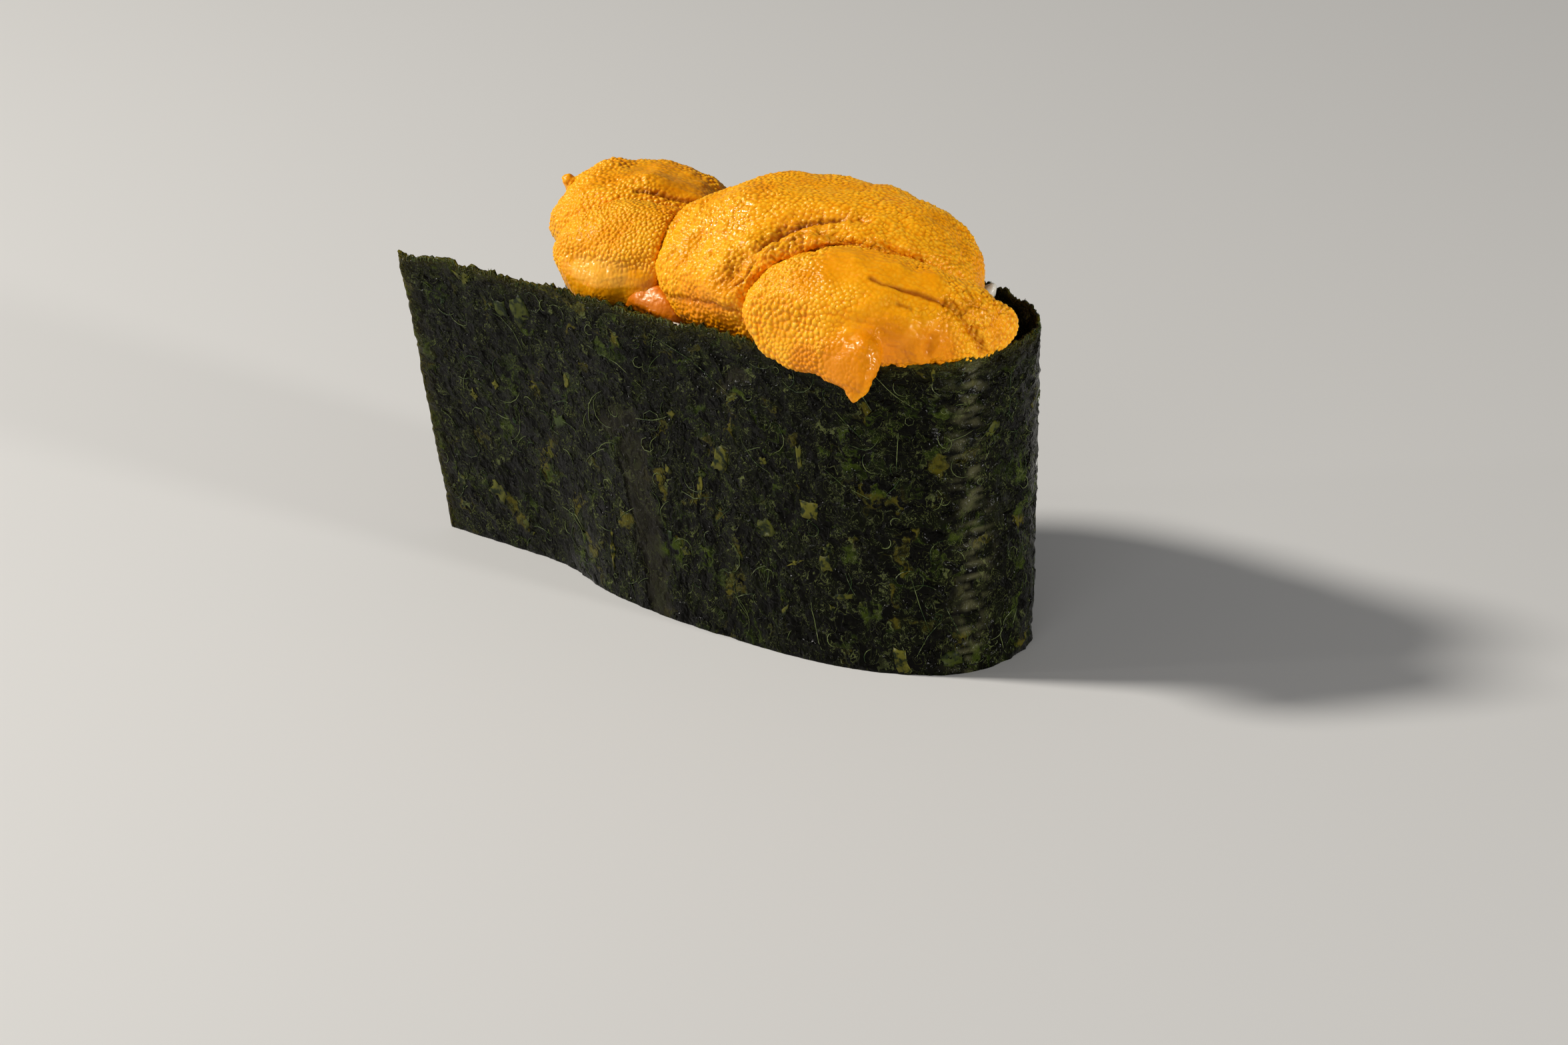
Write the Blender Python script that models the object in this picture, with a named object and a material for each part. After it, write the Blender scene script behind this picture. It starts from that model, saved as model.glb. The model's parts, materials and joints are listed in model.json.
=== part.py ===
"""Sea urchin gunkan sushi: a rice block wrapped in a strip of nori and topped with sea urchin.

The strip starts under its own overlap on the long front side, runs once round the rice and ends
in a loose flap past the left end. Five pieces of sea urchin lie on the rice, pressed against
each other, and the front one sags over the rim in a drip.

Lengths are in metres, +Z is up, the long side of the loop is along X and its front faces -Y.
"""
import math

import bmesh
import bpy
from mathutils import Vector, geometry, noise

# Nori loop: two half superellipses in plan, that meet at x = 0. It leans out at the front, the back
# and the left, and its right end is upright.
LOOP_LEFT = 0.0270
LOOP_RIGHT = 0.0256
LOOP_HALF_WIDTH = 0.0130
LOOP_SQUARENESS = 2.5
LOOP_FLARE = 0.0013
NORI_WIDTH = 0.0324
NORI_THICKNESS = 0.00035
NORI_EDGE_WAVE = 0.0006
EDGE_WAVE_STEP = 0.37
EDGE_NICK_STEP = 1.13
EDGE_NICK_SHARE = 0.5
NORI_ROWS = 5
FINE_STEPS = 4000
NORI_COLUMN = 0.0020

# Overlap: the strip starts tucked in by one thickness and one gap, and eases out behind.
TOUCH_GAP = 0.0003
TUCK_DEPTH = NORI_THICKNESS + TOUCH_GAP
TUCK_START = math.radians(-78)
TUCK_EASE_FROM = math.radians(-180)
TUCK_EASE_TO = math.radians(-300)
TUCK_SHOULDER = math.radians(12)
FRONT_AGAIN = math.radians(-450)

# The top edge dips along the front, and the tucked layer stays below the outer one.
DIP_MIDDLE = -0.0060
DIP_REACH = 0.0080
DIP_DEPTH = 0.0008
TUCK_DROP = 0.0006

# Flap: past the front the strip runs on straight, upright at the loop and leaning out at its end.
FLAP_END_X = -0.0397
FLAP_FOOT_Y = 0.0088
FLAP_TOP_Y = 0.0160
FLAP_BLEND = 0.0012

# Rice: fills the loop, flat below, domed above, with one mound of grains at the back right.
RICE_WALL_GAP = NORI_THICKNESS + TOUCH_GAP
RICE_RIM_HEIGHT = 0.0272
RICE_DOME = 0.0022
RICE_GRAIN = 0.0030
RICE_GRAIN_RELIEF = 0.0007
RICE_COLUMNS = 54
RICE_ROWS = 8
RICE_RINGS = 5
RICE_TOP_SHARE = 0.97
RICE_MOUND = Vector((0.0155, 0.0085))
RICE_MOUND_RADIUS = 0.0040
RICE_MOUND_HEIGHT = 0.0034

# Sea urchin: below the rim it stays this far inside the loop's outer face, drawn in by small steps
# towards its spine, short of the spine's ends.
WALL_CLEARANCE = 0.0014
RIM_MARGIN = 0.0022
DRAW_STEPS = 60
CORE_END = 0.12
LUMP_SIZE = 0.0052
LUMP_RELIEF = 0.0006
PEBBLE_SIZE = 0.0024
PEBBLE_RELIEF = 0.00022

# Each piece: spine from end to end, half width to its front and to its back, rise above the spine,
# drop below it, roll about the spine in degrees, fullness of its two ends, and the faces around
# and along it. A piece is dented by those before it.
PIECES = {
    "uni_front": dict(
        spine=((0.0040, -0.0112, 0.0340), (0.0150, -0.0092, 0.0355), (0.0254, 0.0010, 0.0336)),
        half_width=(0.0055, 0.0064), rise=0.0057, drop=0.0070, roll=10, fullness=(2.2, 2.1),
        around=26, along=18),
    "uni_center": dict(
        spine=((-0.0140, -0.0042, 0.0325), (0.0030, -0.0028, 0.0353), (0.0195, 0.0012, 0.0332)),
        half_width=(0.0106, 0.0122), rise=0.0085, drop=0.0076, roll=10, fullness=(2.0, 2.6),
        around=26, along=20),
    "uni_left": dict(
        spine=((-0.0222, -0.0088, 0.0325), (-0.0155, -0.0078, 0.0340), (-0.0070, -0.0055, 0.0356)),
        half_width=(0.0056, 0.0056), rise=0.0052, drop=0.0062, roll=18, fullness=(2.5, 2.5),
        around=22, along=14),
    "uni_back": dict(
        spine=((-0.0270, -0.0050, 0.0324), (-0.0204, 0.0003, 0.0350), (-0.0100, 0.0026, 0.0306)),
        half_width=(0.0080, 0.0088), rise=0.0048, drop=0.0074, roll=0, fullness=(3.0, 2.4),
        around=22, along=16),
    "uni_tucked": dict(
        spine=((-0.0130, -0.0102, 0.0296), (-0.0095, -0.0108, 0.0304), (-0.0050, -0.0106, 0.0302)),
        half_width=(0.0026, 0.0024), rise=0.0036, drop=0.0026, roll=0, fullness=(2.2, 2.2),
        around=14, along=9),
}

# The front piece sags over the rim in an apron that ends in a drip.
APRON = dict(
    spine=((0.0064, -0.0143, 0.0334), (0.0140, -0.0148, 0.0328), (0.0214, -0.0139, 0.0334)),
    half_width=(0.0017, 0.0017), rise=0.0030, drop=0.0024, roll=0, fullness=(2.2, 3.0),
    around=12, along=12)
DRIP = dict(
    spine=((0.0192, -0.0141, 0.0345), (0.0194, -0.0148, 0.0318), (0.0194, -0.0152, 0.0289)),
    half_width=(0.0017, 0.0017), rise=0.0011, drop=0.0012, roll=0, fullness=(3.0, 1.8),
    around=10, along=10)

# Furrows pressed into a piece: where each starts and ends, its depth and its half width.
FURROWS = {
    "uni_center": [
        dict(start=(-0.0040, -0.0110, 0.0385), end=(0.0070, -0.0070, 0.0430), depth=0.0013, width=0.0017)],
    "uni_front": [
        dict(start=(0.0180, -0.0090, 0.0400), end=(0.0235, -0.0065, 0.0375), depth=0.0006, width=0.0012)],
}

UNI_COLOR = (0.90, 0.40, 0.03)
TUCKED_COLOR = (0.85, 0.26, 0.03)
NORI_COLOR = (0.018, 0.030, 0.012)
RICE_COLOR = (0.86, 0.84, 0.78)


def ease(share):
    """Smooth step from 0 to 1."""
    share = min(max(share, 0.0), 1.0)
    return share * share * (3 - 2 * share)


def loop_point(angle, grow=0.0, share=0.0):
    """Point of the loop's plan at an angle, grown by a length, at a share of the wall's height."""
    power = 2 / LOOP_SQUARENESS
    c, s = math.cos(angle), math.sin(angle)
    lean = LOOP_FLARE * share
    half_length = grow + (LOOP_RIGHT if c > 0 else LOOP_LEFT + lean)
    half_width = grow + LOOP_HALF_WIDTH + lean
    return Vector((half_length * math.copysign(abs(c) ** power, c),
                   half_width * math.copysign(abs(s) ** power, s)))


def foot_half_width(x):
    """Half width of the loop's foot at a place left of its middle, nothing past its end."""
    share = min(abs(x) / LOOP_LEFT, 1.0)
    return LOOP_HALF_WIDTH * (1 - share ** LOOP_SQUARENESS) ** (1 / LOOP_SQUARENESS)


def larger(a, b, blend):
    """The larger of two lengths, with the corner between them rounded."""
    return 0.5 * (a + b + math.hypot(a - b, blend))


def even_angles(start, stop, step):
    """Angles down the loop from start to stop, an even length of wall apart."""
    angles = [start + (stop - start) * i / FINE_STEPS for i in range(FINE_STEPS + 1)]
    points = [loop_point(a) for a in angles]
    walked = [0.0]
    for before, after in zip(points, points[1:]):
        walked.append(walked[-1] + (after - before).length)
    count = round(walked[-1] / step)
    picked, i = [], 0
    for k in range(count):
        while walked[i] < walked[-1] * k / count:
            i += 1
        picked.append(angles[i])
    return picked


def tuck_share(angle):
    """How far the wall is tucked in at an angle of the first turn, from 0 to 1."""
    inwards = ease((TUCK_START + TUCK_SHOULDER - angle) / TUCK_SHOULDER)
    outwards = ease((angle - TUCK_EASE_FROM) / (TUCK_EASE_TO - TUCK_EASE_FROM))
    return min(inwards, 1 - outwards)


def strip_columns():
    """Foot and top of the strip's outer face in plan, and how far it is tucked, column by column."""
    columns = []
    for angle in even_angles(TUCK_START, FRONT_AGAIN, NORI_COLUMN):
        tuck = tuck_share(angle)
        foot, top = (loop_point(angle, -TUCK_DEPTH * tuck, share) for share in (0.0, 1.0))
        columns.append((foot, top, tuck))
    count = round(-FLAP_END_X / NORI_COLUMN)
    start = LOOP_HALF_WIDTH + LOOP_FLARE
    for k in range(count + 1):
        x = FLAP_END_X * k / count
        foot = larger(foot_half_width(x), FLAP_FOOT_Y, FLAP_BLEND)
        top = start + (FLAP_TOP_Y - start) * k / count
        columns.append((Vector((x, -foot)), Vector((x, -top)), 0.0))
    return columns


def edge_height(number, foot, top, tuck):
    """Height of the strip's uneven top edge at one of its columns."""
    height = math.sqrt(NORI_WIDTH ** 2 - (top - foot).length ** 2)
    wave = noise.noise(Vector((number * EDGE_WAVE_STEP, 2.0, 0.0)))
    nick = noise.noise(Vector((number * EDGE_NICK_STEP, 7.0, 0.0)))
    dip = DIP_DEPTH * math.exp(-((foot.x - DIP_MIDDLE) / DIP_REACH) ** 2) if foot.y < 0 else 0.0
    return height + NORI_EDGE_WAVE * (wave + EDGE_NICK_SHARE * nick) - dip - TUCK_DROP * tuck


def strip_mesh(bm, first=0, last=None, grow=0.0):
    """The strip's outer face from one column to another, grown all over, before it gets its thickness."""
    columns = strip_columns()
    rows = []
    for i, (foot, top, tuck) in enumerate(columns):
        before, after = columns[max(i - 1, 0)][0], columns[min(i + 1, len(columns) - 1)][0]
        along = (after - before).normalized()
        out = Vector((-along.y, along.x)) * grow
        height = edge_height(i, foot, top, tuck) + grow
        column = []
        for row in range(NORI_ROWS + 1):
            share = row / NORI_ROWS
            plan = foot.lerp(top, share) + out
            column.append(bm.verts.new((plan.x, plan.y, height * share)))
        rows.append(column)
    rows = rows[first:last]
    for left, right in zip(rows, rows[1:]):
        for row in range(NORI_ROWS):
            bm.faces.new((left[row], left[row + 1], right[row + 1], right[row]))
    loose = [vert for vert in bm.verts if not vert.link_faces]
    bmesh.ops.delete(bm, geom=loose, context="VERTS")


def new_object(name, bm, color, roughness):
    """Turn a bmesh into a named object with its own material."""
    mesh = bpy.data.meshes.new(name)
    bm.to_mesh(mesh)
    piece = bpy.data.objects.new(name, mesh)
    bpy.context.scene.collection.objects.link(piece)
    material = bpy.data.materials.new(name)
    material.use_nodes = True
    shader = material.node_tree.nodes["Principled BSDF"]
    shader.inputs["Base Color"].default_value = (*color, 1.0)
    shader.inputs["Roughness"].default_value = roughness
    shader.inputs["Metallic"].default_value = 0.0
    mesh.materials.append(material)
    mesh.shade_smooth()
    return piece


def solidify(piece, thickness):
    """Give a face its thickness, inwards."""
    wall = piece.modifiers.new("Thickness", "SOLIDIFY")
    wall.thickness = thickness
    wall.offset = -1.0
    wall.use_even_offset = True


def make_nori():
    """The strip of nori."""
    bm = bmesh.new()
    strip_mesh(bm)
    piece = new_object("nori", bm, NORI_COLOR, 0.45)
    solidify(piece, NORI_THICKNESS)
    bm.free()
    return piece


def make_rim_cutters():
    """The strip grown by the gap, in two lengths, so that neither crosses itself at the overlap."""
    half_way = len(even_angles(TUCK_START, TUCK_EASE_TO, NORI_COLUMN))
    cutters = []
    for name, first, last in (("tucked_cutter", 0, half_way + 2), ("outer_cutter", half_way, None)):
        bm = bmesh.new()
        strip_mesh(bm, first, last, grow=TOUCH_GAP)
        cutters.append(make_tool(name, bm))
        solidify(cutters[-1], NORI_THICKNESS + 2 * TOUCH_GAP)
        bm.free()
    return cutters


def grain_relief(point):
    """Height of the rice's grains, in shares of their relief, at a point."""
    distances, _ = noise.voronoi(Vector(point) / RICE_GRAIN)
    return 0.5 - distances[0]


def rice_top(x, y, share):
    """Height of the rice at a place in plan, share of the way from the middle to the wall."""
    mound = RICE_MOUND_HEIGHT * math.exp(-((Vector((x, y)) - RICE_MOUND).length / RICE_MOUND_RADIUS) ** 2)
    grains = RICE_GRAIN_RELIEF * grain_relief((x, y, 0))
    return RICE_RIM_HEIGHT + RICE_DOME * (1 - share ** 2) + mound + grains


def rice_ring(bm, scale, height_of):
    """One ring of the rice's surface, a share of the way out to the wall."""
    ring = []
    for k in range(RICE_COLUMNS):
        angle = -2 * math.pi * (k + 0.5) / RICE_COLUMNS
        gap = RICE_WALL_GAP + TUCK_DEPTH * tuck_share(angle)
        z = height_of(loop_point(angle, -gap) * scale)
        flat = loop_point(angle, -gap, z / NORI_WIDTH) * scale
        gap += RICE_GRAIN_RELIEF * (0.5 - grain_relief((flat.x, flat.y, z)))
        flat = loop_point(angle, -gap, min(z, RICE_RIM_HEIGHT) / NORI_WIDTH) * scale
        ring.append(bm.verts.new((flat.x, flat.y, z)))
    return ring


def make_rice():
    """The block of rice, with grain relief on its side and top and a flat base."""
    bm = bmesh.new()
    shoulder = RICE_RIM_HEIGHT - RICE_GRAIN_RELIEF
    rings = [rice_ring(bm, 1.0, lambda flat: shoulder * row / RICE_ROWS) for row in range(RICE_ROWS)]
    for step in range(RICE_RINGS):
        scale = RICE_TOP_SHARE * (1 - step / RICE_RINGS)
        rings.append(rice_ring(bm, scale, lambda flat: rice_top(flat.x, flat.y, scale)))
    for low, high in zip(rings, rings[1:]):
        for k in range(RICE_COLUMNS):
            after = (k + 1) % RICE_COLUMNS
            bm.faces.new((low[after], low[k], high[k], high[after]))
    bm.faces.new(rings[0])
    middle = bm.verts.new((0, 0, rice_top(0, 0, 0)))
    for k in range(RICE_COLUMNS):
        bm.faces.new((rings[-1][(k + 1) % RICE_COLUMNS], rings[-1][k], middle))
    bmesh.ops.triangulate(bm, faces=bm.faces)
    bm.normal_update()
    piece = new_object("rice", bm, RICE_COLOR, 0.5)
    return piece, bm


def spine_point(spine, share):
    """Point of a three-point curve at a share of its length, and its direction there."""
    a, b, c = (Vector(p) for p in spine)
    control = 2 * b - 0.5 * (a + c)
    point = a * (1 - share) ** 2 + control * 2 * share * (1 - share) + c * share ** 2
    direction = ((control - a) * (1 - share) + (c - control) * share).normalized()
    return point, direction


def tongue_mesh(spine, half_width, rise, drop, roll, fullness, around, along):
    """A lumpy tongue about its spine, and for each vertex the spine point that it belongs to."""
    bm = bmesh.new()
    bmesh.ops.create_uvsphere(bm, u_segments=around, v_segments=along, radius=1.0)
    cores = []
    for vert in bm.verts:
        place = vert.co.z
        turn = math.atan2(vert.co.y, vert.co.x)
        core, direction = spine_point(spine, 0.5 + 0.5 * place)
        side = Vector((0, 0, 1)).cross(direction).normalized()
        up = direction.cross(side)
        power = fullness[0] if place < 0 else fullness[1]
        swell = max(1 - abs(place) ** power, 0.0) ** (1 / power)
        across = (half_width[1] if math.cos(turn) > 0 else half_width[0]) * math.cos(turn) * swell
        height = (rise if math.sin(turn) > 0 else drop) * math.sin(turn) * swell
        tilt = math.radians(roll)
        side, up = side * math.cos(tilt) + up * math.sin(tilt), up * math.cos(tilt) - side * math.sin(tilt)
        vert.co = core + side * across + up * height
        kept = min(max(0.5 + 0.5 * place, CORE_END), 1 - CORE_END)
        cores.append(spine_point(spine, kept)[0])
    bm.normal_update()
    for vert in bm.verts:
        lump = LUMP_RELIEF * noise.noise(vert.co / LUMP_SIZE)
        lump += PEBBLE_RELIEF * noise.noise(vert.co / PEBBLE_SIZE)
        vert.co += vert.normal * lump
    return bm, cores


def outside_wall(point):
    """Whether a point below the rim is too close to the nori, or beyond it."""
    if point.z > NORI_WIDTH - RIM_MARGIN:
        return False
    half_length = (LOOP_RIGHT if point.x > 0 else LOOP_LEFT) - WALL_CLEARANCE
    half_width = LOOP_HALF_WIDTH - WALL_CLEARANCE
    share = (abs(point.x) / half_length) ** LOOP_SQUARENESS + (abs(point.y) / half_width) ** LOOP_SQUARENESS
    return share > 1


def draw_inside_wall(bm, cores):
    """Draw the vertices that reach the wall below the rim back towards the spine."""
    for vert, core in zip(bm.verts, cores):
        start = vert.co.copy()
        step = 0
        while outside_wall(vert.co) and step < DRAW_STEPS:
            step += 1
            vert.co = start.lerp(core, step / DRAW_STEPS)
    bm.normal_update()


def furrow(bm, start, end, depth, width):
    """Press a furrow into the surface along the line from start to end."""
    start, end = Vector(start), Vector(end)
    for vert in bm.verts:
        near, share = geometry.intersect_point_line(vert.co, start, end)
        if share < 0 or share > 1:
            near = start if share < 0 else end
        vert.co -= vert.normal * depth * math.exp(-((vert.co - near).length / width) ** 2)
    bm.normal_update()


def boolean(piece, operation, tool):
    """Join a tool to a piece or cut it away."""
    step = piece.modifiers.new(tool.name, "BOOLEAN")
    step.operation = operation
    step.solver = "EXACT"
    step.object = tool


def make_tool(name, bm):
    """A hidden solid that other solids are joined with or cut by."""
    tool = new_object(name, bm, UNI_COLOR, 0.35)
    tool.hide_render = True
    tool.hide_set(True)
    tool.display_type = "WIRE"
    return tool


def make_grown(name, bm):
    """A cutter a little larger than a solid all over."""
    bm.normal_update()
    for vert in bm.verts:
        vert.co += vert.normal * TOUCH_GAP
    return make_tool(name, bm)


def make_lobe(name, shape):
    """A small tongue to be joined to a piece."""
    bm, _ = tongue_mesh(**shape)
    lobe = make_tool(name, bm)
    bm.free()
    return lobe


def make_piece(name, cutters):
    """One piece of sea urchin, dented by what is there before it."""
    bm, cores = tongue_mesh(**PIECES[name])
    for shape in FURROWS.get(name, []):
        furrow(bm, **shape)
    draw_inside_wall(bm, cores)
    bmesh.ops.triangulate(bm, faces=bm.faces)
    piece = new_object(name, bm, TUCKED_COLOR if name == "uni_tucked" else UNI_COLOR, 0.35)
    for cutter in cutters:
        boolean(piece, "DIFFERENCE", cutter)
    cutters.append(make_grown(name + "_dent", bm))
    bm.free()
    return piece


def stand_on_origin(pieces):
    """Carry the pieces on one empty, placed so that their box stands on the origin at its middle."""
    bpy.context.view_layer.update()
    graph = bpy.context.evaluated_depsgraph_get()
    corners = []
    for piece in pieces:
        shown = piece.evaluated_get(graph)
        corners += [vert.co for vert in shown.data.vertices]
    low = Vector(min(c[axis] for c in corners) for axis in range(3))
    high = Vector(max(c[axis] for c in corners) for axis in range(3))
    root = bpy.data.objects.new("sushi", None)
    bpy.context.scene.collection.objects.link(root)
    root.location = (-(low.x + high.x) / 2, -(low.y + high.y) / 2, -low.z)
    return root


def main():
    for old in list(bpy.data.objects):
        bpy.data.objects.remove(old, do_unlink=True)
    nori = make_nori()
    rim_cutters = make_rim_cutters()
    rice, rice_bm = make_rice()
    dents = [make_grown("rice_dent", rice_bm)]
    rice_bm.free()
    toppings = {name: make_piece(name, dents) for name in PIECES}
    lobes = [make_lobe("apron", APRON), make_lobe("drip", DRIP)]
    for lobe in lobes:
        boolean(toppings["uni_front"], "UNION", lobe)
    for piece in toppings.values():
        for cutter in rim_cutters:
            boolean(piece, "DIFFERENCE", cutter)
    pieces = [nori, rice, *toppings.values()]
    root = stand_on_origin(pieces)
    for child in pieces + rim_cutters + dents + lobes:
        child.parent = root
    bpy.context.view_layer.update()


main()
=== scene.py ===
import bmesh
import bpy
import json
import math
import numpy as np
import random
from mathutils import Euler, Matrix, Vector, kdtree, noise


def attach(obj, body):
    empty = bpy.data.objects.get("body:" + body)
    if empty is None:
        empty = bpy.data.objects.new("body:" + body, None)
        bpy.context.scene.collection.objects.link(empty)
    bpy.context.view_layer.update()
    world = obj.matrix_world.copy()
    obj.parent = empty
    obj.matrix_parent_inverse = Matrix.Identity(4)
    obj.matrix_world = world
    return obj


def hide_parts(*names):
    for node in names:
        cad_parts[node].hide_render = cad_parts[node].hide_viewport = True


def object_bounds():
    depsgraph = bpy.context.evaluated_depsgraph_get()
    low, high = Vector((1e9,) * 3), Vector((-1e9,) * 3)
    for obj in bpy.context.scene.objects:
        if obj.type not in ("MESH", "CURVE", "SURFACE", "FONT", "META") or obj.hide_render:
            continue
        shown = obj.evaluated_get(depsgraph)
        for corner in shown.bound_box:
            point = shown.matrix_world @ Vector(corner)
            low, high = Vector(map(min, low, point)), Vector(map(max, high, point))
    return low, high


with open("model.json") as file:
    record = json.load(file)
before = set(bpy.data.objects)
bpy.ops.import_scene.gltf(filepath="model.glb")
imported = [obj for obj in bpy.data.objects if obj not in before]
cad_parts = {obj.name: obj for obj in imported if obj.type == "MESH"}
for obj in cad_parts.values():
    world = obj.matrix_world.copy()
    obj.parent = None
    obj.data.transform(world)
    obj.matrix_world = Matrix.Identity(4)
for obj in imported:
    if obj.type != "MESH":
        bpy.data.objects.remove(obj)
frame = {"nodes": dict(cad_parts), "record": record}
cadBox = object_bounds()
print("frame loaded")

mm = 0.001
loopCentre = Vector(frame["record"]["mounts"][0]["pos_m"])  # middle of the nori loop, on the table


class Wire:
    # A socket that can be used in sums. A bare one, with no socket, only makes nodes.
    def __init__(self, tree, out=None):
        self.tree, self.out = tree, out

    def node(self, kind, settings=None, sockets=None, take=0):
        made = self.tree.nodes.new(kind)
        for name, value in (settings or {}).items():
            if name == "stops":
                ramp = made.color_ramp
                while len(ramp.elements) < len(value):
                    ramp.elements.new(0.5)
                for element, (place, color) in zip(ramp.elements, value):
                    element.position = place
                    element.color = (*color, 1.0) if isinstance(color, tuple) else (color, color, color, 1.0)
            else:
                setattr(made, name, value)
        for name, value in (sockets or {}).items():
            if isinstance(value, Wire):
                self.tree.links.new(value.out, made.inputs[name])
            else:
                made.inputs[name].default_value = value
        return Wire(self.tree, made.outputs[take]) if made.outputs else made

    def sum(self, operation, a, b):
        return self.node("ShaderNodeMath", {"operation": operation}, {0: a, 1: b})

    def __add__(self, other):
        return self.sum("ADD", self, other)

    def __radd__(self, other):
        return self.sum("ADD", other, self)

    def __sub__(self, other):
        return self.sum("SUBTRACT", self, other)

    def __rsub__(self, other):
        return self.sum("SUBTRACT", other, self)

    def __mul__(self, other):
        return self.sum("MULTIPLY", self, other)

    def __rmul__(self, other):
        return self.sum("MULTIPLY", other, self)

    def clamp(self):
        return self.node("ShaderNodeClamp", {}, {0: self})

    def between(self, low, high):  # 0 below low, 1 above high, smooth from one to the other
        return self.node("ShaderNodeMapRange", {"interpolation_type": "SMOOTHSTEP"},
                         {"Value": self, "From Min": low, "From Max": high})

    def far(self, middle):  # how far from a middle value, either way
        return self.sum("ABSOLUTE", self - middle, 0.0)

    def mix(self, factor, a, b):  # two colours
        return self.node("ShaderNodeMix", {"data_type": "RGBA"}, {0: factor, 6: paint(a), 7: paint(b)}, take=2)

    def attribute(self, name):
        return self.node("ShaderNodeAttribute", {"attribute_name": name}, take=2)

    def noise(self, where, scale, detail=2.0, rough=0.5, warp=0.0):
        return self.node("ShaderNodeTexNoise", {}, {"Vector": where, "Scale": scale, "Detail": detail,
                                                   "Roughness": rough, "Distortion": warp})

    def cells(self, where, scale, feature="F1", take=0, spread=1.0):
        return self.node("ShaderNodeTexVoronoi", {"feature": feature},
                         {"Vector": where, "Scale": scale, "Randomness": spread}, take=take)


def paint(value):
    return value if isinstance(value, Wire) else (*value, 1.0)


def newMaterial(name, build, **constants):
    # build gets a bare wire and gives what changes over the surface; constants are set on the shader's own sockets
    made = bpy.data.materials.new(name)
    made.use_nodes = True
    tree = made.node_tree
    shader = tree.nodes["Principled BSDF"]
    for socket, value in constants.items():
        shader.inputs[socket].default_value = value
    for socket, value in build(Wire(tree)).items():
        tree.links.new(value.out, shader.inputs[socket])
    return made


def newObject(name, mesh, materials, nodes=()):
    piece = bpy.data.objects.new(name, mesh)
    bpy.context.scene.collection.objects.link(piece)
    mesh.materials.clear()
    for material in materials:
        mesh.materials.append(material)
    mesh.shade_smooth()
    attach(piece, "root")
    if nodes:
        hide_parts(*nodes)
    return piece


def mergedCopy(node):
    # a CAD mesh is loose triangles, so its copy is joined up first; gives the copy and its area
    bm = bmesh.new()
    bm.from_mesh(frame["nodes"][node].data)
    bmesh.ops.remove_doubles(bm, verts=bm.verts, dist=1e-6)
    area = sum(face.calc_area() for face in bm.faces)
    mesh = bpy.data.meshes.new(node + "_copy")
    bm.to_mesh(mesh)
    bm.free()
    return mesh, area


def finished(mesh, modifiers):
    # the mesh with a list of modifiers applied, one dictionary for each
    holder = bpy.data.objects.new("holder", mesh)
    bpy.context.scene.collection.objects.link(holder)
    for settings in modifiers:
        step = holder.modifiers.new(settings["kind"], settings["kind"])
        for name, value in settings.items():
            if name != "kind":
                setattr(step, name, value)
    graph = bpy.context.evaluated_depsgraph_get()
    made = bpy.data.meshes.new_from_object(holder.evaluated_get(graph))
    bpy.data.objects.remove(holder)
    return made


def pointsOf(mesh):
    flat = np.empty(len(mesh.vertices) * 3)
    mesh.vertices.foreach_get("co", flat)
    return flat.reshape(-1, 3)


def normalsOf(mesh):
    flat = np.empty(len(mesh.vertices) * 3)
    mesh.vertex_normals.foreach_get("vector", flat)
    return flat.reshape(-1, 3)


def setPoints(mesh, points):
    mesh.vertices.foreach_set("co", points.ravel())
    mesh.update()


def setAttribute(mesh, name, values):
    layer = mesh.attributes.new(name, "FLOAT", "POINT")
    layer.data.foreach_set("value", np.asarray(values, np.float32))


def boxed(mesh):  # keeps a mesh inside the CAD's box
    setPoints(mesh, np.clip(pointsOf(mesh), np.array(cadBox[0]) + 0.00001, np.array(cadBox[1]) - 0.00001))
    return mesh


def noiseAt(points, size, seed=0.0):
    return np.fromiter((noise.noise(p) for p in (points / size + seed).tolist()), float, len(points))


def softStep(values, low, high):
    t = np.clip((values - low) / (high - low), 0, 1)
    return t * t * (3 - 2 * t)


def alongPath(points, path, out=None):
    # how far each point is from a path of straight stretches; with normals, how far along the surface
    best = np.full(len(points), 1e9)
    for a, b in zip(path, path[1:]):
        a, b = np.array(a), np.array(b)
        share = np.clip(((points - a) @ (b - a)) / ((b - a) @ (b - a)), 0, 1)
        gap = points - a - share[:, None] * (b - a)
        if out is not None:
            gap -= 0.85 * (gap * out).sum(1)[:, None] * out
        best = np.minimum(best, np.linalg.norm(gap, axis=1))
    return best


def spots(points, balls):
    # 1 inside soft balls, each a centre and a reach
    total = np.zeros(len(points))
    for centre, reach in balls:
        total = np.maximum(total, 1 - softStep(np.linalg.norm(points - np.array(centre), axis=1), 0.55 * reach, reach))
    return total


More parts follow.
